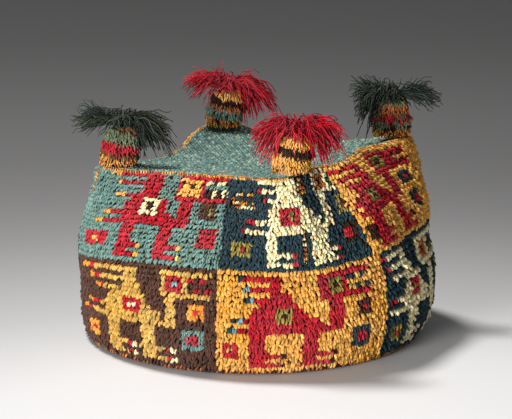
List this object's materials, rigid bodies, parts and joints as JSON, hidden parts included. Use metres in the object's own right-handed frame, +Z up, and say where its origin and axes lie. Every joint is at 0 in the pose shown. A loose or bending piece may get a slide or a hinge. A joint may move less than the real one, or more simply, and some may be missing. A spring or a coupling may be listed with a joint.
{
  "type": "four-cornered hat",
  "caption": "Ceremonial headwear: soft knotted-pile cloth cap with a round wall, a sagging square top, ringed corner peaks and loose thread tassels.",
  "frame": {"origin": "middle of the rim's opening, on the surface that the hat stands on", "axes": "+Z up through the crown, -Y the front face, +X the right face; the corners with the peaks lie on the diagonals"},
  "size_m": [0.1584, 0.1584, 0.1135],
  "materials": {
    "pile_cloth": "matte knotted pile of coloured yarn",
    "rim_cloth": "matte bound edge",
    "crown_cloth": "matte plain knots",
    "seam_yarn": "matte stitches",
    "peak_pile": "matte ringed pile",
    "red_thread": "plied threads",
    "green_thread": "plied threads"
  },
  "bodies": {
    "root": {"side_wall": "pile_cloth", "rim_edge": "rim_cloth", "crown_top": "crown_cloth", "peak_front_right": "peak_pile", "peak_back_right": "peak_pile", "peak_back_left": "peak_pile", "peak_front_left": "peak_pile", "tassel_front_right": "red_thread", "tassel_back_right": "green_thread", "tassel_back_left": "red_thread", "tassel_front_left": "green_thread", "edge_seam_front_right_to_back_right": "seam_yarn", "edge_seam_back_right_to_back_left": "seam_yarn", "edge_seam_back_left_to_front_left": "seam_yarn", "edge_seam_front_left_to_front_right": "seam_yarn"}
  },
  "joints": []
}
